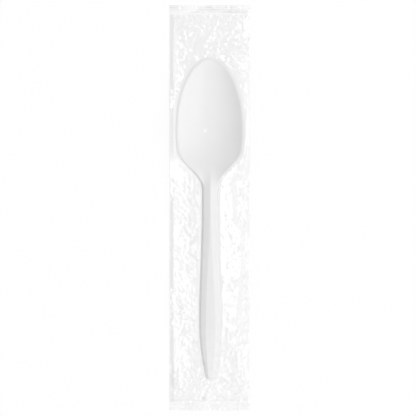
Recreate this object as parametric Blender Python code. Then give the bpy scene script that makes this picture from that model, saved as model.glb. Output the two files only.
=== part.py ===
"""One moulded plastic teaspoon sealed in a sleeve of clear film, lying flat.

Metres, +Z up. The bowl's tip points to +Y and X runs across the pack. The origin is at the middle of
the film's outline, on the surface that the pack lies on.
"""

import bmesh
import bpy
import numpy as np

for old in list(bpy.data.objects):
    bpy.data.objects.remove(old, do_unlink=True)

# Spoon, lengths along Y from the tip of the bowl to the end of the handle
BOWL_NOSE = 0.0340  # tip to the widest place
BOWL_WAIST = 0.0094  # stretch of nearly full width behind it
SHOULDER = 0.0184  # where the bowl draws in to the neck
NECK = 0.0083  # narrow, parallel stretch
HANDLE_FLARE = 0.0530  # neck to the widest place of the handle
HANDLE_TAIL = 0.0269  # widest place to the end
CREST_BEHIND_NECK = 0.0212  # where the handle's arch is highest

# Spoon, widths across X
BOWL_WIDTH = 0.0324
NECK_WIDTH = 0.0080
HANDLE_WIDTH = 0.0106
END_WIDTH = 0.0043
END_CORNER = 0.0009  # radius of the end's two corners

# Spoon, heights and walls
BOWL_DEPTH = 0.0065
BOWL_ROUNDNESS = 2.4  # power of the dish across the bowl, 2 is a parabola
NOSE_ROUNDNESS = 2.6  # the same along it, from the deepest place to the tip
WALL = 0.0011
LIP_WIDTH = 0.0014  # flat rim round the bowl
LIP_THICKNESS = 0.0013
SKIRT_DEPTH = 0.0025  # side walls of the handle, which is hollow below
SKIRT_WALL = 0.0010
SKIRT_DRAFT = 0.0008  # how far the side walls lean in
RIDGE_AT_NECK = 0.0012  # height of the crest along the middle of the handle
RIDGE_AT_END = 0.0008
CREST_WIDTH = 0.0044  # flat top of the crest where the handle is widest, sharp at the neck
RIDGE_START = 0.0060  # from the bowl's shoulder back to where the crest starts
HANDLE_ARCH = 0.0016  # highest place of the handle above the bowl's rim

# Film sleeve, one web folded lengthwise at the right, sealed at the left and across both ends
FILM = 0.00005
HAIRLINE = 0.00005  # between the two layers where they lie flat on each other
HEAD_ROOM = 0.0207  # tip of the bowl to the end seal
TAIL_ROOM = 0.0109  # end of the handle to the other end seal
LEFT_SLACK = 0.0003  # film between the tent over the bowl and the side seal
RIGHT_SLACK = 0.0017  # film between the tent over the bowl and the fold
END_SEAL = 0.0042
SIDE_SEAL = 0.0022
RIB_PITCH = 0.00105  # crimped ribs across the end seals
RIB_DEPTH = 0.00012
FOLD_RADIUS = 0.0003
EDGE_LIFT = 0.0036  # how far the long edges float beside the bowl
HANDLE_EDGE_LIFT = 0.0016  # the same, beside the handle
FLOOR_STRIP = 0.0140  # flat strip under the middle of the pack
TENT_SOFTNESS = 0.0030  # least half-width of the tent's flat top
TENT_SHOULDER = 0.0260  # where the tent narrows from the bowl to the handle
TENT_CURVE = 1.6  # power of the film's fall from the tent's top, 1 is straight
TENT_END_CURVE = 1.4  # the same towards both end seals
CRUMPLE = 0.0009  # height of the small folds

# Clearances
GAP = 0.0003  # between the spoon and the film under it
TENT_GAP = 0.0007  # between the spoon and the film over and beside it

SPOON_LENGTH = BOWL_NOSE + BOWL_WAIST + SHOULDER + NECK + HANDLE_FLARE + HANDLE_TAIL
INNER_LENGTH = HEAD_ROOM + SPOON_LENGTH + TAIL_ROOM
PACK_LENGTH = INNER_LENGTH + 2 * END_SEAL
PACK_WIDTH = SIDE_SEAL + LEFT_SLACK + TENT_GAP + BOWL_WIDTH + TENT_GAP + RIGHT_SLACK
SPOON_X = (SIDE_SEAL + LEFT_SLACK - RIGHT_SLACK) / 2

INNER_END = INNER_LENGTH / 2
TIP = INNER_END - HEAD_ROOM
WIDEST = TIP - BOWL_NOSE
SHOULDER_START = WIDEST - BOWL_WAIST
SHOULDER_END = SHOULDER_START - SHOULDER
FLARE_START = SHOULDER_END - NECK
HANDLE_CREST = FLARE_START - CREST_BEHIND_NECK
HANDLE_WIDEST = FLARE_START - HANDLE_FLARE
END = HANDLE_WIDEST - HANDLE_TAIL

UNDERSIDE = FILM + GAP
RIM = UNDERSIDE + WALL + BOWL_DEPTH
END_SHOULDER = UNDERSIDE + SKIRT_DEPTH

RIBS = round(END_SEAL / RIB_PITCH)

# Long folds of the film: start, end, height and half-width
LONG_FOLDS = (
    ((0.0050, TIP + 0.0190), (-0.0050, TIP), 0.0016, 0.0022),
    ((0.0124, TIP + 0.0150), (0.0035, TIP), 0.0014, 0.0022),
    ((-0.0074, SHOULDER_END + 0.0040), (-0.0064, FLARE_START - 0.0240), 0.0012, 0.0016),
    ((0.0125, FLARE_START - 0.0040), (0.0120, FLARE_START - 0.0320), 0.0012, 0.0022),
    ((-0.0150, END + 0.0180), (-0.0060, END - 0.0040), 0.0014, 0.0022),
    ((0.0150, END + 0.0340), (0.0080, END + 0.0060), 0.0014, 0.0022),
)
# Rows of small folds: direction in degrees, pitch and shift in pitches
SMALL_FOLDS = ((12, 0.0093, 0.3), (68, 0.0127, 0.1), (-37, 0.0158, 0.0), (-79, 0.0071, 0.7))


def ease(value):
    """Smooth step from 0 to 1."""
    value = np.clip(value, 0.0, 1.0)
    return value * value * (3.0 - 2.0 * value)


def half_width(y):
    """Half the spoon's width at y: an ellipse, an S curve, a flare and a parabola."""
    nose = np.clip((y - WIDEST) / BOWL_NOSE, -0.9, 1.0)
    bowl = BOWL_WIDTH / 2 * np.sqrt(1.0 - nose**2)
    flare = ease((FLARE_START - y) / HANDLE_FLARE)
    tail = np.clip((HANDLE_WIDEST - y) / HANDLE_TAIL, 0.0, 1.0)
    corner = np.clip(END_CORNER - (y - END), 0.0, END_CORNER)
    handle = NECK_WIDTH / 2 + (HANDLE_WIDTH - NECK_WIDTH) / 2 * flare
    handle = handle - (HANDLE_WIDTH - END_WIDTH) / 2 * tail**2
    handle = handle - (END_CORNER - np.sqrt(END_CORNER**2 - corner**2))
    return bowl + (handle - bowl) * ease((SHOULDER_START - y) / SHOULDER)


def inner_half_width(y):
    """Half the width inside the bowl's lip: the outline drawn in by the lip's width."""
    width = half_width(y)
    nose = np.clip((y - WIDEST) / (BOWL_NOSE - LIP_WIDTH), 0.0, 1.0)
    inside = (BOWL_WIDTH / 2 - LIP_WIDTH) * np.sqrt(1.0 - nose**2)
    return np.maximum(np.where(y > WIDEST, inside, width - LIP_WIDTH), 0.3 * width)


def rim_height(y):
    """Height of the bowl's rim and of the handle's shoulders: level, then a low arch."""
    rise = HANDLE_ARCH * ease((SHOULDER_START - y) / (SHOULDER_START - HANDLE_CREST))
    fall = np.clip((HANDLE_CREST - y) / (HANDLE_CREST - END), 0.0, 1.0)
    return RIM + rise - (RIM + HANDLE_ARCH - END_SHOULDER) * fall**2


def ridge_part(y):
    """From 0 in the bowl to 1 on the handle, where the crest and the hollow below start."""
    return ease((SHOULDER_START - RIDGE_START - y) / (SHOULDER - RIDGE_START))


def ridge_height(y):
    """Height of the crest that runs along the handle and dies away in the bowl."""
    along = np.clip((SHOULDER_END - y) / (SHOULDER_END - END), 0.0, 1.0)
    return (RIDGE_AT_NECK + (RIDGE_AT_END - RIDGE_AT_NECK) * along) * ridge_part(y)


def crest_half_width(y):
    """Half the width of the crest's flat top: it grows from the neck, then tapers with the handle."""
    grown = ease((SHOULDER_END - y) / (SHOULDER_END - HANDLE_WIDEST))
    return CREST_WIDTH / HANDLE_WIDTH * half_width(y) * grown


def bowl_depth(y, depth, front):
    """Depth along the bowl's middle, between its front end and the neck."""
    ahead = np.clip((y - WIDEST) / (front - WIDEST), 0.0, 1.0)
    behind = np.clip((WIDEST - y) / (WIDEST - SHOULDER_END), 0.0, 1.0)
    return depth * (1.0 - ahead**NOSE_ROUNDNESS) * (0.5 + 0.5 * np.cos(np.pi * behind))


def dish(x, width):
    """Share of the bowl's depth across it: 1 in the middle, 0 at the edge."""
    return 1.0 - np.clip(np.abs(x) / width, 0.0, 1.0) ** BOWL_ROUNDNESS


def skirt_inside(width):
    """Inner side of the handle's side walls: half the hollow's width at its foot and its top."""
    foot = np.maximum(width - SKIRT_WALL, 0.4 * width)
    return foot, np.maximum(foot - SKIRT_DRAFT, 0.3 * width)


def spoon_top(x, y):
    """Upper surface: the dished bowl and the handle's crest with its two slopes, added together."""
    depth = bowl_depth(y, BOWL_DEPTH, TIP - LIP_WIDTH)
    roof = half_width(np.minimum(y, SHOULDER_END)) - SKIRT_DRAFT
    slope = np.clip((roof - np.abs(x)) / (roof - crest_half_width(y)), 0.0, 1.0)
    return rim_height(y) - depth * dish(x, inner_half_width(y)) + ridge_height(y) * slope


def spoon_under(x, y):
    """Lower surface: the outside of the bowl, turning into the hollow between the skirts."""
    width = half_width(y)
    depth = bowl_depth(y, BOWL_DEPTH + WALL - LIP_THICKNESS, TIP)
    bowl = rim_height(y) - LIP_THICKNESS - depth * dish(x, width)
    on_skirt = np.abs(x) > np.mean(skirt_inside(width))
    on_end_wall = y < END + WALL
    foot = rim_height(y) - SKIRT_DEPTH
    hollow = np.where(on_skirt | on_end_wall, foot, spoon_top(x, y) - WALL)
    return bowl + (hollow - bowl) * ridge_part(y)


def spoon_ring(y):
    """Closed section of the spoon at y, over the top from left to right and back below."""
    width = half_width(y)
    inner = inner_half_width(y)
    shoulder = width - SKIRT_DRAFT * ease((SHOULDER_START - y) / SHOULDER)
    over = np.array([0.0, 0.25, 0.5, 0.75, 0.92]) * inner
    over[2] += (np.clip(crest_half_width(y), 0.3 * inner, 0.7 * inner) - over[2]) * ridge_part(y)
    over = np.concatenate([over, [inner, shoulder]])
    over = np.concatenate([-over[:0:-1], over])
    foot, top = skirt_inside(width)
    under = np.concatenate([np.array([0.0, 0.3, 0.6, 0.85]) * top, [top, foot, width]])
    under = np.concatenate([under[::-1], -under[1:]])
    upper = np.column_stack([over, np.full(len(over), y), spoon_top(over, y)])
    lower = np.column_stack([under, np.full(len(under), y), spoon_under(under, y)])
    return np.concatenate([upper, lower]) + [SPOON_X, 0.0, 0.0]


def spoon_stations():
    """Places of the sections, close together where the outline turns fast."""
    nose = WIDEST + BOWL_NOSE * np.cos(np.radians(np.linspace(3.0, 90.0, 17)))
    shoulder = np.linspace(WIDEST, SHOULDER_END, 17)[1:]
    neck = np.linspace(SHOULDER_END, FLARE_START, 4)[1:]
    flare = np.linspace(FLARE_START, HANDLE_WIDEST, 9)[1:]
    tail = np.linspace(HANDLE_WIDEST, END + 2.0 * WALL, 8)[1:]
    end_wall = [END + 1.05 * WALL, END + 0.95 * WALL]
    corner = END + END_CORNER * (1.0 - np.sin(np.radians([40.0, 65.0, 90.0])))
    return np.concatenate([nose, shoulder, neck, flare, tail, end_wall, corner])


def film_lift(y):
    """Height at which the long edges float: flat at the ends, highest beside the bowl."""
    bowl_part = ease((y - FLARE_START) / (WIDEST - FLARE_START))
    lift = HANDLE_EDGE_LIFT + (EDGE_LIFT - HANDLE_EDGE_LIFT) * bowl_part
    return lift * ease((INNER_END - y) / HEAD_ROOM) * ease((INNER_END + y) / TAIL_ROOM)


def rib_height(y):
    """Crimped ribs across both end seals."""
    into_seal = np.clip((np.abs(y) - INNER_END) / END_SEAL, 0.0, 1.0)
    return RIB_DEPTH * (0.5 - 0.5 * np.cos(2.0 * np.pi * RIBS * into_seal))


def film_back(x, y):
    """Middle of the layer below: flat under the spoon, rising to both long edges."""
    out = (np.abs(x) - FLOOR_STRIP / 2) / (PACK_WIDTH / 2 - FLOOR_STRIP / 2)
    return FILM / 2 + film_lift(y) * np.clip(out, 0.0, 1.0) ** 1.6 + rib_height(y)


def end_parts(y):
    """How far y is beyond the bowl's tip and beyond the handle's end, 1 at the end seals."""
    ahead = np.clip((y - TIP - TENT_GAP) / (HEAD_ROOM - TENT_GAP), 0.0, 1.0)
    behind = np.clip((END - TENT_GAP - y) / (TAIL_ROOM - TENT_GAP), 0.0, 1.0)
    return ahead, behind


def tent_half_width(y):
    """Half the width of the tent's flat top, a little outside the spoon and never sharp."""
    bowl = half_width(np.maximum(y, SHOULDER_START))
    draw_in = ease((SHOULDER_START - y) / TENT_SHOULDER)
    cover = bowl + (half_width(np.clip(y, END, TIP)) - bowl) * draw_in + TENT_GAP
    ahead, behind = end_parts(y)
    soft = TENT_SOFTNESS * (1.0 - 0.6 * np.maximum(ahead, behind))
    return (cover**4 * (1.0 - behind) ** 2 + soft**4) ** 0.25


def tent_top(y):
    """Height of the tent's flat top: over the spoon, then down to both end seals."""
    inside = np.clip(y, END, TIP)
    crest = rim_height(inside) + ridge_height(inside) + TENT_GAP
    seal = 1.5 * FILM + HAIRLINE
    return seal + (crest - seal) * (1.0 - np.maximum(*end_parts(y))) ** TENT_END_CURVE


def long_fold(x, y, start, end, height, spread):
    """A rounded fold along the line from start to end, dying away at both ends."""
    run = np.subtract(end, start)
    length = np.hypot(*run)
    along = ((x - start[0]) * run[0] + (y - start[1]) * run[1]) / length**2
    aside = ((x - start[0]) * run[1] - (y - start[1]) * run[0]) / length
    return height * ease(4.0 * along) * ease(4.0 * (1.0 - along)) * np.exp(-((aside / spread) ** 2))


def folds(x, y):
    """Height of the film's folds: crossing rows of small sharp ones, and the long ones."""
    small = np.zeros_like(x)
    for turn, pitch, shift in SMALL_FOLDS:
        angle = np.radians(turn)
        phase = (x * np.cos(angle) + y * np.sin(angle)) / pitch + shift
        small = small + (1.0 - np.abs(2.0 * (phase % 1.0) - 1.0)) ** 2 / len(SMALL_FOLDS)
    return 2.0 * CRUMPLE * small + sum(long_fold(x, y, *fold) for fold in LONG_FOLDS)


def film_front(x, y):
    """Middle of the layer above: a tent over the spoon, let down to the seals and the fold."""
    half = tent_half_width(y)
    left = PACK_WIDTH / 2 - SIDE_SEAL + SPOON_X - half
    right = PACK_WIDTH / 2 - FOLD_RADIUS - SPOON_X - half
    slope = (np.abs(x - SPOON_X) - half) / np.where(x < SPOON_X, left, right)
    tent = (1.0 - np.clip(slope, 0.0, 1.0)) ** TENT_CURVE
    low = film_back(x, y) + FILM + HAIRLINE
    high = np.maximum(tent_top(y), low)
    loose = ease(2.0 * tent) * ease((high - low) / (4.0 * CRUMPLE))
    return low + (high - low) * tent + folds(x, y) * loose


def film_path(y):
    """The web's section at y: left edge, over the spoon, round the fold and back below."""
    left = -PACK_WIDTH / 2
    seal = left + SIDE_SEAL
    right = PACK_WIDTH / 2 - FOLD_RADIUS
    strip = FLOOR_STRIP / 2
    half = tent_half_width(y)
    rise = np.linspace(seal, SPOON_X - half, 6)[:-1]
    top = np.linspace(SPOON_X - half, SPOON_X + half, 9)[:-1]
    fall = np.linspace(SPOON_X + half, right, 7)
    front = np.concatenate([[left], rise, top, fall])
    back = np.concatenate([np.linspace(right, strip, 4), [0.0], np.linspace(-strip, seal, 4), [left]])
    upper = np.column_stack([front, film_front(front, y)])
    lower = np.column_stack([back, film_back(back, y)])
    fold = [[PACK_WIDTH / 2 - FILM / 2, (upper[-1, 1] + lower[0, 1]) / 2]]
    return np.concatenate([upper, fold, lower])


def film_skins(y):
    """Outer and inner side of the web at y: its section moved half a thickness each way."""
    path = film_path(y)
    step = np.diff(path, axis=0)
    step /= np.linalg.norm(step, axis=1)[:, None]
    normal = np.column_stack([-step[:, 1], step[:, 0]])
    normal = np.concatenate([[[0.0, 1.0]], normal[:-1] + normal[1:], [[0.0, -1.0]]])
    normal /= np.linalg.norm(normal, axis=1)[:, None]
    for side in (FILM / 2, -FILM / 2):
        section = path + side * normal
        yield np.column_stack([section[:, 0], np.full(len(path), y), section[:, 1]])


def add_row(bm, points):
    """One row of vertices."""
    return [bm.verts.new(point) for point in points]


def join_rows(bm, rows, closed=False):
    """Faces between each row of vertices and the next, right round where they are closed."""
    for first, second in zip(rows, rows[1:]):
        for i in range(0 if closed else 1, len(first)):
            bm.faces.new((first[i - 1], first[i], second[i], second[i - 1]))


def finish(name, bm, color, roughness, alpha):
    """Turn the mesh into a named object with its own material."""
    bmesh.ops.recalc_face_normals(bm, faces=bm.faces)
    mesh = bpy.data.meshes.new(name)
    bm.to_mesh(mesh)
    bm.free()
    mesh.shade_smooth()
    mesh.set_sharp_from_angle(angle=np.radians(35.0))
    material = bpy.data.materials.new(name)
    material.use_nodes = True
    shader = material.node_tree.nodes["Principled BSDF"]
    shader.inputs["Base Color"].default_value = (*color, 1.0)
    shader.inputs["Roughness"].default_value = roughness
    shader.inputs["Metallic"].default_value = 0.0
    shader.inputs["Alpha"].default_value = alpha
    mesh.materials.append(material)
    obj = bpy.data.objects.new(name, mesh)
    bpy.context.collection.objects.link(obj)


def make_spoon():
    """The spoon, one moulding, lofted through its sections."""
    bm = bmesh.new()
    rows = [add_row(bm, spoon_ring(y)) for y in spoon_stations()]
    join_rows(bm, rows, closed=True)
    bm.faces.new(rows[0])
    bm.faces.new(rows[-1])
    finish("spoon", bm, color=(0.83, 0.83, 0.83), roughness=0.32, alpha=1.0)


def make_film():
    """The sleeve: a folded web whose two layers are one solid in the end seals.

    Along the side seal the layers lie a hairline apart, so the hollow is not shut off.
    """
    bm = bmesh.new()
    in_seal = 2 * RIBS
    seal = np.linspace(PACK_LENGTH / 2, INNER_END, in_seal + 1)
    between = np.linspace(INNER_END, -INNER_END, 68)[1:-1]
    stations = np.concatenate([seal, between, -seal[::-1]])
    skins = [list(film_skins(y)) for y in stations]
    outer = [add_row(bm, skin[0]) for skin in skins]
    inner = [add_row(bm, skin[1]) for skin in skins[in_seal:-in_seal]]
    join_rows(bm, outer)
    join_rows(bm, inner)
    for row in (outer[0], outer[-1], inner[0], inner[-1]):
        bm.faces.new(row)
    # Along the side seal each layer has its own edge, between the two end seals
    open_rows = outer[in_seal:-in_seal]
    for side in (0, -1):
        join_rows(bm, [[row[side], skin[side]] for row, skin in zip(open_rows, inner)])
    # In the end seals one edge goes through both layers
    for rows, skin in ((outer[: in_seal + 1], inner[0]), (outer[: -in_seal - 2 : -1], inner[-1])):
        edges = [[row[0], row[-1]] for row in rows]
        join_rows(bm, edges[:-1])
        last, inmost = edges[-2], edges[-1]
        bm.faces.new((last[0], inmost[0], skin[0], skin[-1], inmost[1], last[1]))
    finish("film_wrapper", bm, color=(0.90, 0.90, 0.90), roughness=0.12, alpha=0.25)


make_spoon()
make_film()
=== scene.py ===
# %% [markdown]
# # A teaspoon sealed in crinkled clear film
#
# The object is one white moulded teaspoon in a narrow sleeve of thin clear film, seen from straight
# above on white. Two things make it look real: the soft shading of the dished bowl and the ridged
# handle, and the way that hundreds of small facets of film catch the lamps. So the spoon is a fine
# loft, and the film is one web whose height is worked out for every half millimetre of it.

import bmesh
import bpy
import numpy as np
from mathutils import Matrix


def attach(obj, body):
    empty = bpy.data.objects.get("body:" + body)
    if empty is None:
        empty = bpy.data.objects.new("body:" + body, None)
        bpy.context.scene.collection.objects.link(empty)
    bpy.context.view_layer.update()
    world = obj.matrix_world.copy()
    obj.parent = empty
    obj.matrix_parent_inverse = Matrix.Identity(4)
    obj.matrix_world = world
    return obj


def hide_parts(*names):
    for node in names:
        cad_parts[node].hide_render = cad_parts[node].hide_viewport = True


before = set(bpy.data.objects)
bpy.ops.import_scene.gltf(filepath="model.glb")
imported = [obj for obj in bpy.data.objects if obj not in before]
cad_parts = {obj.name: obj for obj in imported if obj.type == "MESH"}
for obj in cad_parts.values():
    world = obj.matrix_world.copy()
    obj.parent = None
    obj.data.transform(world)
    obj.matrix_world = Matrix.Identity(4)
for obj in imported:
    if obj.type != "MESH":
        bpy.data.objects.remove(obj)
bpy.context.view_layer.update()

# %% [markdown]
# ## Sizes
#
# All lengths are metres. The spoon lies along Y with the tip of its bowl at +Y, and X runs across the
# pack. The spoon is described by stretches measured from the tip of the bowl to the end of the handle,
# and the film by the room that it leaves round the spoon.

# %% Sizes of the spoon
# Stretches along it, from the tip of the bowl to the end of the handle
BOWL_NOSE = 0.0340  # tip to the widest place
BOWL_WAIST = 0.0094  # nearly full width behind it
SHOULDER = 0.0184  # where the bowl draws in to the neck
NECK = 0.0083
HANDLE_FLARE = 0.0530  # neck to the widest place of the handle
HANDLE_TAIL = 0.0269  # widest place to the end
CREST_BEHIND_NECK = 0.0212  # neck to the highest place of the arch
RIDGE_START = 0.0060  # start of the shoulder to the start of the ridge
# Across it
BOWL_WIDTH = 0.0324
LIP_WIDTH = 0.0014
NECK_WIDTH = 0.0080
HANDLE_WIDTH = 0.0106
CREST_WIDTH = 0.0044  # flat top of the handle's ridge, where the handle is widest
END_WIDTH = 0.0043
END_CORNER = 0.0009  # radius of the corners at the end
# Depths, walls and heights
BOWL_DEPTH = 0.0065
BOWL_ROUNDNESS = 2.4  # power of the dish across
NOSE_ROUNDNESS = 2.6  # power of the dish along
WALL = 0.0011
LIP_THICKNESS = 0.0013
SKIRT_DEPTH = 0.0025  # of the handle's side walls
SKIRT_WALL = 0.0010
SKIRT_DRAFT = 0.0008  # how far they lean in
RIDGE_AT_NECK = 0.0012
RIDGE_AT_END = 0.0008
HANDLE_ARCH = 0.0016
EDGE_ROUND = 0.00035  # radius on the outer edges of the moulding
SPOON_LENGTH = BOWL_NOSE + BOWL_WAIST + SHOULDER + NECK + HANDLE_FLARE + HANDLE_TAIL
print(f"spoon {SPOON_LENGTH * 1000:.1f} mm long, bowl {BOWL_WIDTH * 1000:.1f} mm wide")

# %% Sizes of the film
FILM = 0.00005  # thickness of the web
HAIRLINE = 0.00005  # gap between its two layers that stands for the side seal
HEAD_ROOM = 0.0207  # free length ahead of the bowl's tip
TAIL_ROOM = 0.0109  # free length behind the handle's end
LEFT_SLACK = 0.0003
RIGHT_SLACK = 0.0017
END_SEAL = 0.0042  # length of each crimped seal
SIDE_SEAL = 0.0022  # width
RIB_PITCH = 0.00105
RIB_DEPTH = 0.00012
FOLD_RADIUS = 0.0003
EDGE_LIFT = 0.0036  # how high the long edges float beside the bowl
HANDLE_EDGE_LIFT = 0.0016  # and beside the handle
FLOOR_STRIP = 0.0140  # width of the strip that lies flat under the spoon
TENT_SOFTNESS = 0.0030  # least half-width of the tent's top
TENT_END_CURVE = 1.4  # power with which its top comes down to the end seals
GAP = 0.0003  # clearance of the spoon in the film
TENT_GAP = 0.0007  # clearance beside and beyond it
INNER_LENGTH = HEAD_ROOM + SPOON_LENGTH + TAIL_ROOM
PACK_LENGTH = INNER_LENGTH + 2 * END_SEAL
PACK_WIDTH = SIDE_SEAL + LEFT_SLACK + TENT_GAP + BOWL_WIDTH + TENT_GAP + RIGHT_SLACK
print(f"film {PACK_WIDTH * 1000:.1f} mm by {PACK_LENGTH * 1000:.1f} mm")

# %% Places along the pack
SPOON_X = (SIDE_SEAL + LEFT_SLACK - RIGHT_SLACK) / 2
INNER_END = INNER_LENGTH / 2
TIP = INNER_END - HEAD_ROOM
WIDEST = TIP - BOWL_NOSE
SHOULDER_START = WIDEST - BOWL_WAIST
SHOULDER_END = SHOULDER_START - SHOULDER
FLARE_START = SHOULDER_END - NECK
HANDLE_CREST = FLARE_START - CREST_BEHIND_NECK
HANDLE_WIDEST = FLARE_START - HANDLE_FLARE
END = HANDLE_WIDEST - HANDLE_TAIL
UNDERSIDE = FILM + GAP
RIM = UNDERSIDE + WALL + BOWL_DEPTH
END_SHOULDER = UNDERSIDE + SKIRT_DEPTH
RIBS = round(END_SEAL / RIB_PITCH)
print(f"bowl's tip at y = {TIP * 1000:.1f} mm, handle's end at y = {END * 1000:.1f} mm")

# %% [markdown]
# ## Helpers for surfaces
#
# Each new piece is a grid of points worked out by a formula. A grid becomes a mesh by joining each
# point with its neighbours in the next row and the next column, which numpy does for the whole grid at
# once. The mesh then gets its faces turned outwards and its rows shaded smooth.

# %% Soft steps
def ease(value):
    """Smooth step from 0 to 1: three times the square less twice the cube."""
    value = np.clip(value, 0.0, 1.0)
    return value * value * (3.0 - 2.0 * value)


print("soft steps of 0.25, 0.5 and 0.75:", ease(np.array([0.25, 0.5, 0.75])))

# %% Grids and meshes
def quads(index):
    """Faces of a grid of vertex numbers: each cell is one quad."""
    corners = [index[:-1, :-1], index[:-1, 1:], index[1:, 1:], index[1:, :-1]]
    return np.stack(corners, axis=-1).reshape(-1, 4).tolist()


def solid(name, points, faces):
    """A closed mesh object at the origin, with its faces pointing outwards and shaded smooth."""
    mesh = bpy.data.meshes.new(name)
    mesh.from_pydata(points.reshape(-1, 3), [], faces)
    bm = bmesh.new()
    bm.from_mesh(mesh)
    bmesh.ops.recalc_face_normals(bm, faces=bm.faces)
    open_edges = sum(not edge.is_manifold for edge in bm.edges)
    bm.to_mesh(mesh)
    bm.free()
    mesh.shade_smooth()
    piece = bpy.data.objects.new(name, mesh)
    bpy.context.collection.objects.link(piece)
    mesh.calc_loop_triangles()
    print(f"{name}: {len(mesh.loop_triangles)} triangles, {open_edges} open edges")
    return piece


# %% [markdown]
# ## The spoon
#
# A disposable teaspoon is moulded in one shot, so its walls are all about a millimetre and its edges
# are slightly round. It could be carved from a block or swept from curves, but a loft fits it best:
# every cross section has the same layout, only its width, height and depth change along the spoon. One
# function gives the outline, one the height of the rim, one the dish of the bowl, and they are added.

# %% Outline from above
def half_width(y):
    """Half the spoon's width at y: an ellipse, an S curve, a flare and a parabola."""
    nose = np.clip((y - WIDEST) / BOWL_NOSE, -0.9, 1.0)
    bowl = BOWL_WIDTH / 2 * np.sqrt(1.0 - nose**2)
    flare = ease((FLARE_START - y) / HANDLE_FLARE)
    tail = np.clip((HANDLE_WIDEST - y) / HANDLE_TAIL, 0.0, 1.0)
    corner = np.clip(END_CORNER - (y - END), 0.0, END_CORNER)
    handle = NECK_WIDTH / 2 + (HANDLE_WIDTH - NECK_WIDTH) / 2 * flare
    handle = handle - (HANDLE_WIDTH - END_WIDTH) / 2 * tail**2
    handle = handle - (END_CORNER - np.sqrt(END_CORNER**2 - corner**2))
    return bowl + (handle - bowl) * ease((SHOULDER_START - y) / SHOULDER)


def inner_half_width(y):
    """Half the width inside the bowl's lip: the outline drawn in by the lip's width."""
    width = half_width(y)
    nose = np.clip((y - WIDEST) / (BOWL_NOSE - LIP_WIDTH), 0.0, 1.0)
    inside = (BOWL_WIDTH / 2 - LIP_WIDTH) * np.sqrt(1.0 - nose**2)
    return np.maximum(np.where(y > WIDEST, inside, width - LIP_WIDTH), 0.3 * width)


widths = 2000.0 * half_width(np.array([WIDEST, FLARE_START, HANDLE_WIDEST]))
print("widths at the bowl, the neck and the handle, in mm:", widths.round(1))

# %% Heights along the spoon
def rim_height(y):
    """Height of the rim and of the handle's shoulders: level, an S curve up, then down by a square."""
    rise = HANDLE_ARCH * ease((SHOULDER_START - y) / (SHOULDER_START - HANDLE_CREST))
    fall = np.clip((HANDLE_CREST - y) / (HANDLE_CREST - END), 0.0, 1.0)
    return RIM + rise - (RIM + HANDLE_ARCH - END_SHOULDER) * fall**2


def ridge_part(y):
    """From 0 in the bowl to 1 on the handle, by an S curve: the crest and the hollow below grow by it."""
    return ease((SHOULDER_START - RIDGE_START - y) / (SHOULDER - RIDGE_START))


def ridge_height(y):
    """Height of the crest: an even slope along the handle that dies away in the bowl."""
    along = np.clip((SHOULDER_END - y) / (SHOULDER_END - END), 0.0, 1.0)
    return (RIDGE_AT_NECK + (RIDGE_AT_END - RIDGE_AT_NECK) * along) * ridge_part(y)


def crest_half_width(y):
    """Half the width of the crest's flat top: a share of the handle's width, grown by an S curve."""
    grown = ease((SHOULDER_END - y) / (SHOULDER_END - HANDLE_WIDEST))
    return CREST_WIDTH / HANDLE_WIDTH * half_width(y) * grown


def bowl_depth(y, depth, front):
    """Depth along the bowl's middle: less a power 2.6 ahead of the widest place, half a cosine behind."""
    ahead = np.clip((y - WIDEST) / (front - WIDEST), 0.0, 1.0)
    behind = np.clip((WIDEST - y) / (WIDEST - SHOULDER_END), 0.0, 1.0)
    return depth * (1.0 - ahead**NOSE_ROUNDNESS) * (0.5 + 0.5 * np.cos(np.pi * behind))


heights = 1000.0 * rim_height(np.array([WIDEST, HANDLE_CREST, END]))
print("heights of the rim, the arch and the end, in mm:", heights.round(1))

# %% Upper and lower surface
LIP_SOFTNESS = 0.03  # rounds the inner edge of the lip, as a share of the depth
CREST_SOFTNESS = 0.05  # rounds the edges of the handle's crest, as a share of its half-width
END_TURN = 0.8  # how far the handle's end turns down, as a share of a quarter circle
LEAST_WIDTH = 1e-6  # stands for the width of 0 at the bowl's tip, where a share of it is taken


def draft(y):
    """How far the side walls lean in: nothing at the bowl, all of it on the handle."""
    return SKIRT_DRAFT * ease((SHOULDER_START - y) / SHOULDER)


def skirt_inside(width):
    """Inner side of the side walls: half the hollow's width at its foot, and at its top less the draft."""
    foot = np.maximum(width - SKIRT_WALL, 0.4 * width)
    return foot, np.maximum(foot - SKIRT_DRAFT, 0.3 * width)


def spoon_top(x, y):
    """Upper surface: a dish, power 2.4 across, plus the handle's crest with its two slopes.

    The handle's end turns down by most of a quarter circle.
    """
    inside = np.maximum(inner_half_width(y), LEAST_WIDTH)
    across = 1.0 - np.clip(np.abs(x) / inside, 0.0, 2.0) ** BOWL_ROUNDNESS
    dish = 0.5 * (across + np.sqrt(across**2 + LIP_SOFTNESS**2))
    roof = half_width(np.minimum(y, SHOULDER_END)) - SKIRT_DRAFT
    aside = np.sqrt(x**2 + (CREST_SOFTNESS * roof) ** 2)
    slope = (roof - aside) / (roof - crest_half_width(y))
    crest = 0.5 * (slope + 1.0 - np.sqrt((slope - 1.0) ** 2 + CREST_SOFTNESS**2))
    depth = bowl_depth(y, BOWL_DEPTH, TIP - LIP_WIDTH)
    corner = np.clip(END_CORNER - (y - END), 0.0, END_CORNER)
    corner = END_TURN * (END_CORNER - np.sqrt(END_CORNER**2 - corner**2))
    return rim_height(y) - depth * dish + ridge_height(y) * np.clip(crest, 0.0, 1.0) - corner


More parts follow.
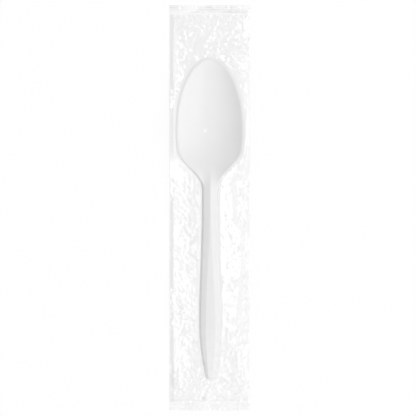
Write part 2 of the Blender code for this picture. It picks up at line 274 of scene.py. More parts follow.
def spoon_under(x, y):
    """Lower surface: the same dish a wall lower, turning into the hollow between the side walls."""
    width = half_width(y)
    depth = bowl_depth(y, BOWL_DEPTH + WALL - LIP_THICKNESS, TIP)
    dish = 1.0 - np.clip(np.abs(x) / np.maximum(width, LEAST_WIDTH), 0.0, 1.0) ** BOWL_ROUNDNESS
    bowl = rim_height(y) - LIP_THICKNESS - depth * dish
    on_skirt = np.abs(x) > np.mean(skirt_inside(width), axis=0)
    foot = rim_height(y) - SKIRT_DEPTH
    hollow = np.where(on_skirt | (y < END + WALL), foot, spoon_top(x, y) - WALL)
    return bowl + (hollow - bowl) * ridge_part(y)


floor_wall = spoon_top(0.0, WIDEST) - spoon_under(0.0, WIDEST)
print(f"the bowl's floor is {floor_wall * 1000:.2f} mm thick")

# %% Sections and the mesh
TOP_CELLS = 64
UNDER_CELLS = 24
ROUND_CELLS = 5  # in the quarter circle of an edge
NOSE_ROWS, BOWL_ROWS, HANDLE_ROWS, CORNER_ROWS = 90, 75, 189, 12
SHARP_ANGLE = 50.0  # degrees between faces past which an edge is shaded sharp


def spoon_rows():
    """Places of the sections, close together where the outline or the end wall turns fast."""
    nose = WIDEST + BOWL_NOSE * np.cos(np.radians(np.linspace(1.0, 90.0, NOSE_ROWS)))
    bowl = np.linspace(WIDEST, SHOULDER_END, BOWL_ROWS + 1)[1:]
    handle = np.linspace(SHOULDER_END, END + 2.0 * WALL, HANDLE_ROWS + 1)[1:]
    end_wall = [END + 1.05 * WALL, END + 0.95 * WALL]
    corner = END + END_CORNER * (1.0 - np.sin(np.radians(np.linspace(10.0, 90.0, CORNER_ROWS))))
    return np.concatenate([nose, bowl, handle, end_wall, corner])


def spoon_sections(y):
    """Closed sections, one row for each y: over the top, round the edge and back below.

    The top runs between the two shoulders, the edge is a quarter circle and the leaning side wall,
    and the underside goes in by the foot, the inner wall and the hollow.
    """
    y = y[:, None]
    width = half_width(y)
    shoulder = width - draft(y)
    radius = np.minimum(EDGE_ROUND, 0.2 * width)
    flat = np.sin(np.linspace(-np.pi / 2, np.pi / 2, TOP_CELLS + 1))
    top_x = flat * (shoulder - radius)
    top_z = spoon_top(top_x, y)
    turn = np.linspace(0.0, np.pi / 2, ROUND_CELLS + 1)[1:]
    round_x = shoulder - radius + radius * np.sin(turn)
    round_z = top_z[:, -1:] - radius + radius * np.cos(turn)
    foot, top = skirt_inside(width)
    share = np.linspace(1.0, 0.0, UNDER_CELLS // 2 + 1)
    inner_x = top * share
    foot_x = np.concatenate([width - 0.3 * radius, foot, top], axis=1)
    side_z = spoon_under(width, y) + 0.3 * radius
    right_x = np.concatenate([round_x, width, foot_x, inner_x[:, 1:]], axis=1)
    below = spoon_under(np.concatenate([foot_x, inner_x[:, 1:]], axis=1), y)
    right_z = np.concatenate([round_z, side_z, below], axis=1)
    x = np.concatenate([top_x, right_x, -right_x[:, -2::-1]], axis=1)
    z = np.concatenate([top_z, right_z, right_z[:, -2::-1]], axis=1)
    return np.stack([x + SPOON_X, np.broadcast_to(y, x.shape), z], axis=-1)


sections = spoon_sections(spoon_rows())
number = np.arange(sections.shape[0] * sections.shape[1]).reshape(sections.shape[:2])
around = np.concatenate([number, number[:, :1]], axis=1)
spoon = solid("moulded_teaspoon", sections, quads(around) + [number[0].tolist(), number[-1].tolist()])
spoon.data.set_sharp_from_angle(angle=np.radians(SHARP_ANGLE))

# %% [markdown]
# ## The film
#
# The sleeve is one web of film: folded lengthwise at the right, sealed along the left and crimped at
# both ends. Real film of this kind is stiff for its thickness, so it crumples into small flat facets
# with sharp creases, and it is pulled smooth where the spoon's rim holds it up. Cloth simulation gives
# soft drapery instead, so the height of the web is a formula: a tent over the spoon, plus facets. What
# the eye reads as film is which way each facet leans, because that decides which lamp it mirrors. So
# the slopes beside the spoon are chosen, and a few long folds are laid where the pack has them.

# %% Facets
LATTICE = 61  # the scatter of points repeats only after this many cells


def nearest(x, y, spacing, seed):
    """Squared distance, in spacings, to the nearest point of a lattice whose points are jittered."""
    shift = np.random.default_rng(seed).random((LATTICE, LATTICE, 2))
    u, v = x / spacing, y / spacing
    best = np.full(np.broadcast(u, v).shape, 9.0)
    for step_u in (-1, 0, 1):
        for step_v in (-1, 0, 1):
            cell_u = np.floor(u).astype(int) + step_u
            cell_v = np.floor(v).astype(int) + step_v
            point = shift[cell_u % LATTICE, cell_v % LATTICE]
            gap = (cell_u + point[..., 0] - u) ** 2 + (cell_v + point[..., 1] - v) ** 2
            best = np.minimum(best, gap)
    return best


def facets(x, y, spacing, seed, turn=0.0, stretch=1.0):
    """Flat facets with sharp creases, about -0.5 to 0.5 high.

    Each place belongs to the nearest point of one scatter and of a second one, and the difference of
    the two squared distances is a plane there. turn, in degrees, and stretch lay the facets along a
    direction.
    """
    angle = np.radians(turn)
    along = (x * np.cos(angle) + y * np.sin(angle)) / stretch
    aside = y * np.cos(angle) - x * np.sin(angle)
    return nearest(along, aside, spacing, seed) - nearest(along, aside, spacing, seed + 1)


def crumple(x, y, sizes):
    """Facets of several sizes together."""
    return sum(height * facets(x, y, spacing, *rest) for spacing, height, *rest in sizes)


sample = facets(*np.meshgrid(np.linspace(0.0, 0.04, 81), np.linspace(0.0, 0.2, 401)), 0.0042, 41)
print("nine tenths of the facets lie between", np.percentile(sample, (5, 95)).round(2))

# %% Long folds, listed
# Each fold runs from a start to an end, in metres, with a height and a half-width
LONG_FOLDS = (
    ((0.0049, 0.0892), (-0.0052, 0.0705), 0.00063, 0.00072),
    ((0.0126, 0.0860), (0.0033, 0.0712), 0.00063, 0.00072),
    ((-0.0058, 0.0875), (-0.0115, 0.0780), 0.00063, 0.00091),
    ((0.0124, 0.0670), (0.0172, 0.0570), 0.00056, 0.00072),
    ((-0.0112, 0.0210), (-0.0130, 0.0120), 0.00056, 0.00078),
    ((0.0140, 0.0110), (0.0186, -0.0015), 0.00049, 0.00059),
    ((0.0140, -0.0020), (0.0172, -0.0100), 0.00042, 0.00052),
    ((0.0164, -0.0070), (0.0186, -0.0130), 0.00042, 0.00046),
    ((0.0182, -0.0370), (0.0122, -0.0475), 0.00049, 0.00065),
    ((-0.0150, -0.0620), (-0.0080, -0.0800), 0.00056, 0.00078),
    ((0.0150, -0.0560), (0.0080, -0.0740), 0.00049, 0.00065),
    ((0.0040, -0.0868), (0.0150, -0.0880), 0.00035, 0.00052),
    ((-0.0024, -0.0860), (-0.0018, -0.0905), 0.00035, 0.00046),
)


def long_fold(x, y, start, end, height, spread):
    """A fold along a line: a crest by the square of the nearness, eased to nothing at both ends."""
    run = np.subtract(end, start)
    length = np.hypot(*run)
    along = ((x - start[0]) * run[0] + (y - start[1]) * run[1]) / length**2
    aside = np.abs((x - start[0]) * run[1] - (y - start[1]) * run[0]) / length
    crest = np.clip(1.0 - aside / (2.0 * spread), 0.0, 1.0) ** 2
    return height * ease(4.0 * along) * ease(4.0 * (1.0 - along)) * crest


# Small rings where the film has puckered: middle, radius and height
RINGS = (
    ((-0.0033, 0.0356), 0.0009, 0.0003),
    ((-0.0101, -0.0806), 0.0017, 0.0006),
    ((0.0118, -0.0632), 0.0015, 0.0005),
)


def ring(x, y, middle, radius, height):
    """A round pucker: a sharp crest at the radius that falls away in and out over half of it."""
    off = np.abs(np.hypot(x - middle[0], y - middle[1]) - radius)
    return height * np.clip(1.0 - off / (0.5 * radius), 0.0, 1.0)


print(len(LONG_FOLDS), "long folds and", len(RINGS), "rings")

# %% The layer below
RISE_CURVE = 1.6  # power with which it rises to the long edges
SAG_START, SAG_LENGTH = 0.0440, 0.0140  # where the left edge comes down again, beside the bowl's nose
NOSE_SAG = 0.8  # share of its rise that it loses there
BACK_FACET = 0.00045  # height of the facets
BACK_LEVEL = 0.6  # their middle level, as a share of it
# Each row of facets: spacing, height or share, seed, direction in degrees and stretch
BACK_FACETS = ((0.0065, 0.6, 11, 70, 1.4), (0.0028, 0.4, 21, 0, 1.0))
BACK_CALM = (0.0030, 0.0080)  # the facets grow over these lengths from the long edges and the end seals
UNDER_GAP = 0.00012  # clearance below the spoon
SPOON_REACH = 0.0040  # width beside the spoon over which the film comes free of it
FREE_ROOM = 0.02  # headroom beyond that, more than the film ever needs
RIB_PATCH = 0.0050  # size of the places where the ribs are deeper or shallower


def film_lift(y):
    """Height at which the long edges float: flat at the ends, highest beside the bowl."""
    bowl_part = ease((y - FLARE_START) / (WIDEST - FLARE_START))
    lift = HANDLE_EDGE_LIFT + (EDGE_LIFT - HANDLE_EDGE_LIFT) * bowl_part
    return lift * ease((INNER_END - y) / HEAD_ROOM) * ease((INNER_END + y) / TAIL_ROOM)


def rib_height(x, y):
    """Crimped ribs across both end seals: a raised cosine, deeper in some places than in others."""
    into_seal = np.clip((np.abs(y) - INNER_END) / END_SEAL, 0.0, 1.0)
    press = 1.0 + 0.5 * facets(x, y, RIB_PATCH, 401)
    return RIB_DEPTH * press * (0.5 - 0.5 * np.cos(2.0 * np.pi * RIBS * into_seal))


def from_seals(y, reach):
    """0 at the end seals and 1 beyond a reach from them."""
    return ease((INNER_END - np.abs(y)) / reach)


def outside_spoon(x, y):
    """Distance outside the spoon's outline, negative inside it."""
    aside = np.abs(x - SPOON_X) - half_width(np.clip(y, END, TIP))
    return np.maximum(aside, np.maximum(y - TIP, END - y))


def film_back(x, y):
    """Middle of the layer below: flat under the spoon, up by a power to both long edges, with facets."""
    out = (np.abs(x) - FLOOR_STRIP / 2) / (PACK_WIDTH / 2 - FLOOR_STRIP / 2)
    sag = np.where(x < 0.0, NOSE_SAG * ease((y - SAG_START) / SAG_LENGTH), 0.0)
    rise = film_lift(y) * (1.0 - sag) * np.clip(out, 0.0, 1.0) ** RISE_CURVE
    from_edges, from_ends = BACK_CALM
    loose = from_seals(y, from_ends) * ease((PACK_WIDTH / 2 - np.abs(x)) / from_edges)
    facet = BACK_FACET * np.clip(BACK_LEVEL + crumple(x, y, BACK_FACETS), 0.0, None) * loose
    room = spoon_under(x - SPOON_X, np.clip(y, END, TIP)) - UNDER_GAP
    room = room + FREE_ROOM * ease(outside_spoon(x, y) / SPOON_REACH)
    low = FILM / 2 + rib_height(x, y)
    return low + np.clip(rise + facet, 0.0, room - low)


lifts = 1000.0 * film_lift(np.array([WIDEST, HANDLE_CREST]))
print("the long edges float this high beside the bowl and the handle, in mm:", lifts.round(1))

# %% The slopes of the layer above
# At each y, how the film falls on the left and on the right: to a first crease this far out from the
# spoon at this slope, then to a second crease this far out at this slope, and then to the edge
FALLS = (
    (-0.0880, (0.0040, 0.58, 0.0070, 0.10), (0.0050, 0.50, 0.0090, 0.15)),
    (-0.0700, (0.0050, 0.57, 0.0080, 0.10), (0.0055, 0.50, 0.0090, 0.15)),
    (-0.0500, (0.0060, 0.57, 0.0095, 0.15), (0.0062, 0.32, 0.0085, 1.20)),
    (-0.0340, (0.0060, 0.57, 0.0090, 0.15), (0.0078, 0.30, 0.0095, 2.00)),
    (-0.0290, (0.0048, 0.58, 0.0078, 0.15), (0.0096, 0.30, 0.0108, 3.00)),
    (-0.0100, (0.0043, 0.58, 0.0078, 0.12), (0.0098, 0.30, 0.0110, 3.00)),
    (-0.0060, (0.0043, 0.58, 0.0078, 0.12), (0.0060, 0.30, 0.0080, 1.50)),
    (0.0080, (0.0040, 0.58, 0.0075, 0.15), (0.0055, 0.30, 0.0080, 1.50)),
    (0.0200, (0.0020, 0.60, 0.0040, 0.40), (0.0028, 0.34, 0.0045, 1.20)),
    (0.0360, (0.0008, 0.60, 0.0010, 0.60), (0.0008, 0.40, 0.0014, 0.60)),
    (0.0520, (0.0040, 0.10, 0.0060, 0.60), (0.0030, 0.15, 0.0045, 1.20)),
    (0.0700, (0.0120, 0.10, 0.0140, 0.60), (0.0090, 0.10, 0.0110, 0.80)),
    (0.0900, (0.0120, 0.08, 0.0140, 0.40), (0.0100, 0.10, 0.0120, 0.60)),
)


NEAR_LIMIT, FAR_LIMIT = 0.7, 0.85  # the creases stand no further out than these shares of the room
LEAST_CREASE = 0.05  # the second crease is no lower than this share of the tent
END_SHARPNESS = 0.6  # share by which the tent's top narrows towards the end seals


def end_parts(y):
    """How far y is beyond the bowl's tip and beyond the handle's end, 1 at the end seals."""
    ahead = np.clip((y - TIP - TENT_GAP) / (HEAD_ROOM - TENT_GAP), 0.0, 1.0)
    behind = np.clip((END - TENT_GAP - y) / (TAIL_ROOM - TENT_GAP), 0.0, 1.0)
    return ahead, behind


def tent_half_width(y):
    """Half the width of the tent's flat top: fourth root of two fourth powers, the spoon's and a least."""
    cover = half_width(np.clip(y, END, TIP)) + GAP
    ahead, behind = end_parts(y)
    soft = TENT_SOFTNESS * (1.0 - END_SHARPNESS * np.maximum(ahead, behind))
    return (cover**4 * (1.0 - behind) ** 2 + soft**4) ** 0.25


def tent_top(y):
    """Height of the tent's top: just over the bowl and the crest, then down by a power to the seals."""
    inside = np.clip(y, END, TIP)
    crest = rim_height(inside) + ridge_height(inside) + 1.5 * GAP
    seal = 1.5 * FILM + HAIRLINE
    return seal + (crest - seal) * (1.0 - np.maximum(*end_parts(y))) ** TENT_END_CURVE


def tent_share(x, y):
    """1 over the spoon, then down in three straight slopes to 0 at the edges."""
    half = tent_half_width(y)
    left = PACK_WIDTH / 2 - SIDE_SEAL + SPOON_X - half
    right = PACK_WIDTH / 2 - FOLD_RADIUS - SPOON_X - half
    room = np.where(x < SPOON_X, left, right)
    places, *sides = zip(*FALLS)
    left, right = ([np.interp(y, places, column) for column in zip(*side)] for side in sides)
    near, steep, far, mild = (np.where(x < SPOON_X, *pair) for pair in zip(left, right))
    near, far = np.minimum(near, NEAR_LIMIT * room), np.minimum(far, FAR_LIMIT * room)
    out = np.clip(np.abs(x - SPOON_X) - half, 0.0, room)
    drop = steep * np.minimum(out, near) + mild * np.clip(out - near, 0.0, far - near)
    whole = RIM + HANDLE_ARCH - HANDLE_EDGE_LIFT
    crease = np.maximum(1.0 - (steep * near + mild * (far - near)) / whole, LEAST_CREASE)
    return np.where(out < far, np.maximum(1.0 - drop / whole, crease), crease * (room - out) / (room - far))


tops = 1000.0 * tent_top(np.array([WIDEST, HANDLE_CREST, END]))
print("the tent's top over the bowl, the arch and the end, in mm:", tops.round(1))

# %% The layer above
# Each row: spacing, height, seed, direction in degrees and stretch
FRONT_FACETS = (
    (0.0085, 0.0008, 31, 75, 1.4),
    (0.0042, 0.0006, 41, 30, 1.1),
    (0.0021, 0.0003, 51, 0, 1.0),
)
FRONT_LEVEL = 0.0004  # their middle level, so that few of them dip to the layer below
FRONT_CALM = (0.0020, 0.0015, 0.0060)  # they grow over these lengths from side seal, fold and end seals
HELD_SHARE = 0.12  # share of them that is left where the spoon holds the film up
COVER_GAP = 0.0003  # least clearance over the spoon


def film_front(x, y):
    """Middle of the layer above: a tent over the spoon, let down to the seals, plus facets and folds."""
    low = film_back(x, y) + FILM + HAIRLINE
    high = np.maximum(tent_top(y), low)
    from_side, from_fold, from_ends = FRONT_CALM
    edge = ease((PACK_WIDTH / 2 - SIDE_SEAL + x) / from_side) * ease((PACK_WIDTH / 2 - x) / from_fold)
    free = HELD_SHARE + (1.0 - HELD_SHARE) * ease(outside_spoon(x, y) / SPOON_REACH)
    rough = crumple(x, y, FRONT_FACETS) + sum(long_fold(x, y, *fold) for fold in LONG_FOLDS)
    height = low + (high - low) * tent_share(x, y)
    height = height + (rough + FRONT_LEVEL) * from_seals(y, from_ends) * edge * free
    height = height + sum(ring(x, y, *place) for place in RINGS)
    cover = spoon_top(x - SPOON_X, np.clip(y, END, TIP)) + COVER_GAP
    cover = np.where(outside_spoon(x, y) < COVER_GAP, cover, low)
    return np.maximum(np.maximum(height, low), cover)


# %% The web as one closed solid
BACK_CELLS = 44
FRONT_CELLS = 2 * BACK_CELLS
FOLD_CELLS = 4
RIB_CELLS = 8  # along each rib
BETWEEN_CELLS = 300  # along the pack, from seal to seal


def web_rows():
    """Places of the web's rows: fine through the crimped ribs and even between them."""
    seal = np.linspace(PACK_LENGTH / 2, INNER_END, RIBS * RIB_CELLS + 1)
    between = np.linspace(INNER_END, -INNER_END, BETWEEN_CELLS + 1)[1:-1]
    return np.concatenate([seal, between, -seal[::-1]])


def web(y):
    """The middle of the web: front from left to right, half an ellipse round the fold, and back."""
    y = y[:, None]
    right = PACK_WIDTH / 2 - FOLD_RADIUS
    front_x = np.linspace(-PACK_WIDTH / 2, right, FRONT_CELLS + 1)[None, :]
    back_x = np.linspace(right, -PACK_WIDTH / 2, BACK_CELLS + 1)[None, :]
    front_z, back_z = film_front(front_x, y), film_back(back_x, y)
    turn = np.linspace(0.0, np.pi, FOLD_CELLS + 1)[None, 1:-1]
    middle, half = (front_z[:, -1:] + back_z[:, :1]) / 2, (front_z[:, -1:] - back_z[:, :1]) / 2
    fold_x = right + (FOLD_RADIUS - FILM / 2) * np.sin(turn)
    x = np.concatenate([front_x, fold_x, back_x], axis=1)
    z = np.concatenate([front_z, middle + half * np.cos(turn), back_z], axis=1)
    return np.stack(np.broadcast_arrays(x, y, z), axis=-1)


def skins(middle):
    """The web's two sides: its middle moved half a thickness each way along the normal."""
    down, across = np.gradient(middle, axis=0), np.gradient(middle, axis=1)
    normal = np.cross(down, across)
    normal /= np.linalg.norm(normal, axis=-1, keepdims=True)
    return middle + normal * FILM / 2, middle - normal * FILM / 2


def end_cap(row):
    """Faces across the end of a section: two cells of the front for each one of the back."""
    front, back = row[: FRONT_CELLS + 1], row[: -BACK_CELLS - 2 : -1]
    cells = [[*front[2 * i : 2 * i + 3], back[i + 1], back[i]] for i in range(BACK_CELLS)]
    return [[int(v) for v in cell] for cell in cells] + [row[FRONT_CELLS : -BACK_CELLS].tolist()]


middle = web(web_rows())
seal_rows = RIBS * RIB_CELLS
outer, inner = skins(middle)
print(f"a web of {middle.shape[0]} rows and {middle.shape[1]} columns, {seal_rows} rows in each end seal")

# %% Closing the web
# The outer skin runs on over the end seals, where both layers are one. The inner skin lines the hollow
# between the seals. Strips along the left edge and round both seals join the two.
inner = inner[seal_rows:-seal_rows]
outer_no = np.arange(outer.shape[0] * outer.shape[1]).reshape(outer.shape[:2])
inner_no = outer_no.size + np.arange(inner.shape[0] * inner.shape[1]).reshape(inner.shape[:2])
faces = quads(outer_no) + quads(inner_no)
for row in (outer_no[0], outer_no[-1], inner_no[0], inner_no[-1]):
    faces += end_cap(row)
for side in (0, -1):
    faces += quads(np.column_stack([outer_no[seal_rows:-seal_rows, side], inner_no[:, side]]))
seals = ((outer_no[: seal_rows + 1], inner_no[0]), (outer_no[: -seal_rows - 2 : -1], inner_no[-1]))
for sealed, skin in seals:
    faces += quads(sealed[:-1][:, [0, -1]])
    last, inmost = sealed[-2], sealed[-1]
    faces.append([int(v) for v in (last[0], inmost[0], skin[0], skin[-1], inmost[-1], last[-1])])
film = solid("clear_film_sleeve", np.concatenate([outer.reshape(-1, 3), inner.reshape(-1, 3)]), faces)

# %% [markdown]
# ## Haze and crackle of the film
#
# A hot jaw leaves film cloudy along its ribs, and the finest facets, about a millimetre wide, are
# everywhere but where the film is pulled smooth. A picture could carry both, but they follow the pack's
# own layout, so each is a formula of x and y that is stored at the vertices as an attribute. The film's
# material reads them: haze dims what shines through, and crackle scales the bump of the finest facets.

# %% Haze of the seals
TOP_PRESS, BOTTOM_PRESS = 0.6, 0.25  # how cloudy the ribs are at each end
HAZE_PATCH = 0.0040  # size of the places where they are more or less so
SIDE_HAZE = 0.13
# Cloudy patches: middle, half their width and length, and depth
CLOUDS = (((-0.0157, -0.0800), 0.0032, 0.0090, 0.12), ((-0.0024, -0.0887), 0.0013, 0.0028, 0.30))


def patch(x, y, middle, half_x, half_y, firmness):
    """1 in the middle of an ellipse, then an S curve down to 0 at its rim, steeper when firmer."""
    return ease(firmness * (1.0 - np.hypot((x - middle[0]) / half_x, (y - middle[1]) / half_y)))


def haze(x, y):
    """How cloudy the film is, from 0 to 1: a cosine's lines on the ribs, the side seal and patches."""
    into_seal = (np.abs(y) - INNER_END) / END_SEAL
    press = np.where(y > 0.0, TOP_PRESS, BOTTOM_PRESS) * (0.7 + 1.4 * facets(x, y, HAZE_PATCH, 501, 0, 2.0))
    lines = (0.35 + 0.65 * np.abs(np.cos(np.pi * RIBS * into_seal))) * ease(4.0 * into_seal)
    side = SIDE_HAZE * (x < SIDE_SEAL - PACK_WIDTH / 2)
    side = side + sum(depth * patch(x, y, *place, 1.5) for *place, depth in CLOUDS)
    return np.clip(np.maximum(lines * press, side), 0.0, 1.0)


# %% Crackle of the film
SPOON_CRACKLE = 0.15  # share of the finest facets that is left over the spoon
SEAL_CRACKLE = 0.3  # and at the side seal
CRACKLE_REACH = 0.0020  # they grow to their full height over this width beside the spoon
# Places where the film is pulled smooth: middle, half their width and length, and what crackle is left
CALM = (
    ((0.0100, -0.0120), 0.0055, 0.0200, 0.30),
    ((0.0090, 0.0080), 0.0050, 0.0080, 0.45),
    ((-0.0078, -0.0080), 0.0036, 0.0240, 0.35),
    ((-0.0060, -0.0600), 0.0028, 0.0200, 0.45),
    ((0.0070, -0.0600), 0.0020, 0.0200, 0.45),
    ((0.0, 0.0800), 0.0260, 0.0200, 0.55),
)


def crackle(x, y):
    """Share of the finest facets: grown beside the spoon, then times what each calm patch leaves."""
    share = SPOON_CRACKLE + (1.0 - SPOON_CRACKLE) * ease(outside_spoon(x, y) / CRACKLE_REACH)
    for *place, left in CALM:
        share = share * (1.0 - (1.0 - left) * patch(x, y, *place, 1.6))
    return share * np.where(x < SIDE_SEAL - PACK_WIDTH / 2, SEAL_CRACKLE, 1.0)


places = np.zeros(3 * len(film.data.vertices))
film.data.vertices.foreach_get("co", places)
for name, formula in (("haze", haze), ("crackle", crackle)):
    values = formula(*places.reshape(-1, 3).T[:2])
    film.data.attributes.new(name, "FLOAT", "POINT").data.foreach_set("value", values)
    print(f"{name} from {values.min():.2f} to {values.max():.2f}")

# %% [markdown]
# ## Finishes
#
# The spoon is white polystyrene or polypropylene straight from the mould: bright, neutral and satin,
# with a very fine grain. The film is clear: it passes most light straight through, and mirrors a few
# hundredths of it, more at a slant. A glass shader would bend and darken the light, so the film mixes
# a transparent shader with a glossy one. A layer of film has two faces, and only the one turned to the
# eye mirrors, with the share of both, so that each layer is counted once.

# %% Helpers for nodes
WHITE = (1.0, 1.0, 1.0, 1.0)


def fill(tree, socket, value):
    """Gives an input a value, or links it to another node's output."""
    if isinstance(value, bpy.types.NodeSocket):
        tree.links.new(value, socket)
    else:
        socket.default_value = value


def add_node(tree, kind, **values):
    """A new node with the given inputs."""
    node = tree.nodes.new(kind)
    for name, value in values.items():
        fill(tree, node.inputs[name.replace("_", " ")], value)
    return node


def add_math(tree, operation, *values):
    """The result of one calculation on values or on other nodes' outputs."""
    node = tree.nodes.new("ShaderNodeMath")
    node.operation = operation
    for socket, value in zip(node.inputs, values):
        fill(tree, socket, value)
    return node.outputs["Value"]


def add_ramp(tree, value, source, target):
    """A value taken evenly from the source's span to the target's, and held at both ends."""
    spans = {"From_Min": source[0], "From_Max": source[1], "To_Min": target[0], "To_Max": target[1]}
    return add_node(tree, "ShaderNodeMapRange", Value=value, **spans).outputs["Result"]


def add_mix(tree, share, first, second):
    """Two shaders mixed: the share is the second one's."""
    node = tree.nodes.new("ShaderNodeMixShader")
    for socket, value in zip(node.inputs, (share, first, second)):
        fill(tree, socket, value)
    return node.outputs["Shader"]


def new_material(name):
    """An empty node material and its tree."""
    material = bpy.data.materials.new(name)
    material.use_nodes = True
    material.node_tree.nodes.clear()
    return material, material.node_tree


# %% White moulded plastic
PLASTIC_WHITE = (0.93, 0.93, 0.93, 1.0)
PLASTIC_ROUGHNESS = 0.5
PLASTIC_IOR = 1.49


def plastic():
    """Satin white plastic: a fine mould grain over slow waves of shrinkage, both as bump."""
    material, tree = new_material("white_moulded_plastic")
    place = tree.nodes.new("ShaderNodeTexCoord").outputs["Object"]
    waves = add_node(tree, "ShaderNodeTexNoise", Vector=place, Scale=140.0, Detail=1.0).outputs["Fac"]
    slow = add_node(tree, "ShaderNodeBump", Height=waves, Strength=0.25, Distance=0.0003)
    grain = add_node(tree, "ShaderNodeTexNoise", Vector=place, Scale=2600.0, Detail=2.0).outputs["Fac"]
    fine = add_node(tree, "ShaderNodeBump", Height=grain, Strength=0.12, Distance=0.00006)
    tree.links.new(slow.outputs["Normal"], fine.inputs["Normal"])
    shader = add_node(
        tree,
        "ShaderNodeBsdfPrincipled",
        Base_Color=PLASTIC_WHITE,
        Roughness=PLASTIC_ROUGHNESS,
        IOR=PLASTIC_IOR,
        Normal=fine.outputs["Normal"],
    )
    add_node(tree, "ShaderNodeOutputMaterial", Surface=shader.outputs["BSDF"])
    return material


# %% Clear film
FILM_MIRROR = 0.07  # share of light that one layer mirrors when seen straight on, from both its sides
SLANT_POWER = 5.0  # the rest of it grows with this power of the slant
FILM_ROUGHNESS = 0.06
FILM_TINT = 0.005  # share of light that each side of the film holds back
SEAL_CLOUD = 0.10  # the same in the haziest place
CRACKLE_HEIGHT = 0.00022  # of the finest facets, whose creases are too sharp for the mesh's cells
CRACKLE_SCALES = (560.0, 480.0)  # points in a metre, of the two scatters that make them


def crackled(tree):
    """The finest facets as bump: the difference of two scatters' squared distances, as in the mesh."""
    place = tree.nodes.new("ShaderNodeTexCoord").outputs["Object"]
    cells = [add_node(tree, "ShaderNodeTexVoronoi", Vector=place, Scale=scale) for scale in CRACKLE_SCALES]
    squares = [add_math(tree, "MULTIPLY", *[cell.outputs["Distance"]] * 2) for cell in cells]
    calm = tree.nodes.new("ShaderNodeAttribute")
    calm.attribute_name = "crackle"
    height = add_math(tree, "SUBTRACT", *squares)
    bump = add_node(tree, "ShaderNodeBump", Height=height, Distance=CRACKLE_HEIGHT)
    tree.links.new(calm.outputs["Fac"], bump.inputs["Strength"])
    return bump.outputs["Normal"]


def clear_film():
    """Transparent mixed with gloss, by a mirror share that grows with the fifth power of the slant."""
    material, tree = new_material("clear_crinkled_film")
    cloud = tree.nodes.new("ShaderNodeAttribute")
    cloud.attribute_name = "haze"
    passed = add_ramp(tree, cloud.outputs["Fac"], (0.0, 1.0), (1.0 - FILM_TINT, 1.0 - SEAL_CLOUD))
    clear = add_node(tree, "ShaderNodeBsdfTransparent", Color=passed)
    gloss = add_node(tree, "ShaderNodeBsdfGlossy", Color=WHITE, Roughness=FILM_ROUGHNESS)
    tree.links.new(crackled(tree), gloss.inputs["Normal"])
    slant = add_node(tree, "ShaderNodeLayerWeight", Blend=0.5).outputs["Facing"]
    share = add_ramp(tree, add_math(tree, "POWER", slant, SLANT_POWER), (0.0, 1.0), (FILM_MIRROR, 1.0))
    away = tree.nodes.new("ShaderNodeNewGeometry").outputs["Backfacing"]
    mirrored = add_math(tree, "MULTIPLY", share, add_ramp(tree, away, (0.0, 1.0), (1.0, 0.0)))
    film_mix = add_mix(tree, mirrored, clear.outputs["BSDF"], gloss.outputs["BSDF"])
    add_node(tree, "ShaderNodeOutputMaterial", Surface=film_mix)
    return material


spoon.data.materials.append(plastic())
film.data.materials.append(clear_film())
for piece in (spoon, film):
    print(piece.name, "is finished as", piece.data.materials[0].name)

# %% [markdown]
# ## Floor, lamps and camera
#
# The picture is a plain product shot on white. The floor is white paper that keeps a faint shadow: what
# the camera sees of it is mostly an even white, mixed with the paper itself. Clear film shows nothing
# but what it mirrors, so in an even white dome its creases would vanish. Here a tent of light stands
# round the pack instead: upright panels with darker gaps, dimmer at the left and ahead, and a dim
# opening overhead, which keeps level film a pale grey. One large lamp at the right shades the bowl, and
# a narrow strip at the left gives the film beside the handle its shine.

# %% Floor
FLOOR_SIZE = 6.0
FLOOR_GLOW = 0.95  # share of even white in what is seen of the floor
PAPER_WHITE = (0.95, 0.95, 0.95, 1.0)


def floor_paper():
    """White paper, mixed with an even white for the rays that look at it."""
    material, tree = new_material("white_paper_floor")
    paper = add_node(tree, "ShaderNodeBsdfDiffuse", Color=PAPER_WHITE).outputs["BSDF"]
    glow = add_node(tree, "ShaderNodeEmission", Color=WHITE, Strength=1.0).outputs["Emission"]
    ray = tree.nodes.new("ShaderNodeLightPath").outputs
    seen = add_math(tree, "MAXIMUM", ray["Is Camera Ray"], ray["Is Glossy Ray"])
    seen = add_math(tree, "MAXIMUM", seen, ray["Is Transmission Ray"])
    share = add_ramp(tree, seen, (0.0, 1.0), (0.0, FLOOR_GLOW))
    add_node(tree, "ShaderNodeOutputMaterial", Surface=add_mix(tree, share, paper, glow))
    return material


corners = np.array([(-1, -1, 0), (1, -1, 0), (1, 1, 0), (-1, 1, 0)]) * FLOOR_SIZE / 2
floor_mesh = bpy.data.meshes.new("paper_floor")
floor_mesh.from_pydata(corners, [], [(0, 1, 2, 3)])
floor_mesh.materials.append(floor_paper())
floor = bpy.data.objects.new("paper_floor", floor_mesh)
bpy.context.collection.objects.link(floor)
print(f"floor {FLOOR_SIZE} m square")

# %% Tent of light
PANELS = 8  # upright panels round the pack, one of them straight at its right
PANEL_LIGHT = 1.5
GAP_LIGHT = 0.45  # brightness between two panels
PANEL_EDGE = 0.3  # the panels' cosine climbs from gap to panel between minus this and this
LEFT_DIMMED = 0.5  # share of it that is left at the left of the pack
LEFT_SPAN = (0.1, 0.8)  # how far left the dimming starts and ends, 1 being level with the floor
AHEAD_DIMMED = 0.5  # and beyond the bowl's tip
AHEAD_SPAN = (0.1, 0.7)
OPENING_LIGHT = 0.2  # brightness of the opening above, round the camera
OPENING = (0.80, 0.96)  # heights, as sines, where the wall ends and where the opening is fully dim


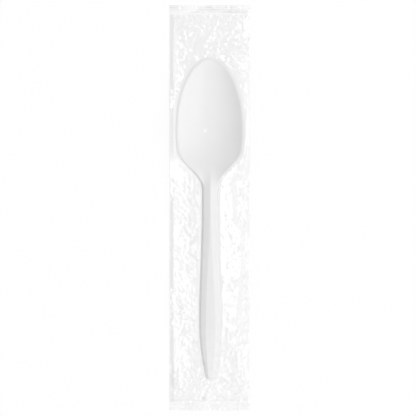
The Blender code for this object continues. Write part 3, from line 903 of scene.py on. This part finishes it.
def studio_tent():
    """Panels with gaps all round, dimmer ahead and at the left, and a dim opening overhead.

    The cosine of eight times the compass angle says where a panel stands. Straight views are plain
    white.
    """
    world = bpy.data.worlds.new("studio_tent")
    world.use_nodes = True
    tree = world.node_tree
    way = tree.nodes.new("ShaderNodeTexCoord").outputs["Generated"]
    way = add_node(tree, "ShaderNodeSeparateXYZ", Vector=way).outputs
    compass = add_math(tree, "ARCTAN2", way["Y"], way["X"])
    wave = add_math(tree, "COSINE", add_math(tree, "MULTIPLY", compass, PANELS))
    panel = add_ramp(tree, wave, (-PANEL_EDGE, PANEL_EDGE), (GAP_LIGHT, PANEL_LIGHT))
    left = add_ramp(tree, way["X"], (-LEFT_SPAN[0], -LEFT_SPAN[1]), (1.0, LEFT_DIMMED))
    ahead = add_ramp(tree, way["Y"], AHEAD_SPAN, (1.0, AHEAD_DIMMED))
    wall = add_math(tree, "MULTIPLY", panel, add_math(tree, "MULTIPLY", left, ahead))
    tent = add_ramp(tree, way["Z"], OPENING[::-1], (OPENING_LIGHT, wall))
    straight = tree.nodes.new("ShaderNodeLightPath").outputs["Is Camera Ray"]
    background = tree.nodes["Background"].inputs
    background["Color"].default_value = WHITE
    tree.links.new(add_math(tree, "MAXIMUM", tent, straight), background["Strength"])
    return world


bpy.context.scene.world = studio_tent()

# %% Light that the tent gives


def tent_light():
    """Light on the floor: the tent's brightness, averaged over the compass and the squared height."""
    height = np.sqrt(np.linspace(0.0025, 0.9975, 200))[:, None]
    compass = np.radians(np.linspace(0.25, 359.75, 720))
    level = np.sqrt(1.0 - height**2)
    panel = np.interp(np.cos(PANELS * compass), (-PANEL_EDGE, PANEL_EDGE), (GAP_LIGHT, PANEL_LIGHT))
    left = np.interp(-level * np.cos(compass), LEFT_SPAN, (1.0, LEFT_DIMMED))
    ahead = np.interp(level * np.sin(compass), AHEAD_SPAN, (1.0, AHEAD_DIMMED))
    wall = panel * left * ahead
    return np.mean(wall + (OPENING_LIGHT - wall) * np.interp(height, OPENING, (0.0, 1.0)))


print(f"the tent lights the floor to {tent_light():.2f} of white")

# %% Lamps
LAMP_DISTANCE = 0.9
# Name, compass angle from +X in degrees, height angle in degrees, length, width and brightness
LAMPS = (("right_key", 15.0, 58.0, 1.1, 0.6, 1.95), ("left_strip", 180.0, 32.0, 0.9, 0.3, 1.3))


def add_lamp(name, compass, height, length, width, brightness):
    """A soft panel aimed at the pack. Its power is brightness times pi times its area.

    Gives the light that it sends to the floor, as a share of white.
    """
    around, up = np.radians(compass), np.radians(height)
    direction = np.array([np.cos(up) * np.cos(around), np.cos(up) * np.sin(around), np.sin(up)])
    data = bpy.data.lights.new(name, "AREA")
    data.shape = "RECTANGLE"
    data.size, data.size_y = length, width
    data.energy = brightness * np.pi * length * width
    lamp = bpy.data.objects.new(name, data)
    lamp.location = direction * LAMP_DISTANCE
    lamp.rotation_euler = (np.pi / 2 - up, 0.0, around + np.pi / 2)
    bpy.context.collection.objects.link(lamp)
    return brightness * length * width / LAMP_DISTANCE**2 * np.sin(up) / np.pi


shares = [add_lamp(*lamp) for lamp in LAMPS]
print(f"with the lamps the floor gets {tent_light() + sum(shares):.2f} of white")

# %% Camera
CAMERA_HEIGHT = 1.2
FRAME_WIDTH = 0.195  # what the picture spans at the height of the film
CAMERA_X = -0.00075
camera_data = bpy.data.cameras.new("camera")
camera_data.sensor_width = 36.0
camera_data.lens = camera_data.sensor_width * CAMERA_HEIGHT / FRAME_WIDTH
camera = bpy.data.objects.new("camera", camera_data)
camera.location = (CAMERA_X, 0.0, CAMERA_HEIGHT)
bpy.context.collection.objects.link(camera)
bpy.context.scene.camera = camera
bpy.context.scene.view_settings.view_transform = "Standard"
print(f"lens {camera_data.lens:.0f} mm at {CAMERA_HEIGHT} m")

# %% [markdown]
# ## Joining the frame
#
# Both pieces belong to the one body that the pack has, and each stands for its solid, whose part from
# the CAD model is hidden. The web was cut to twice the pack's width by its length.

# %% Bodies, with the parts of the CAD model hidden
for piece, node, slot in ((spoon, "spoon", "spoon_plastic"), (film, "film_wrapper", "clear_film")):
    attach(piece, "root")
    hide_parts(node)
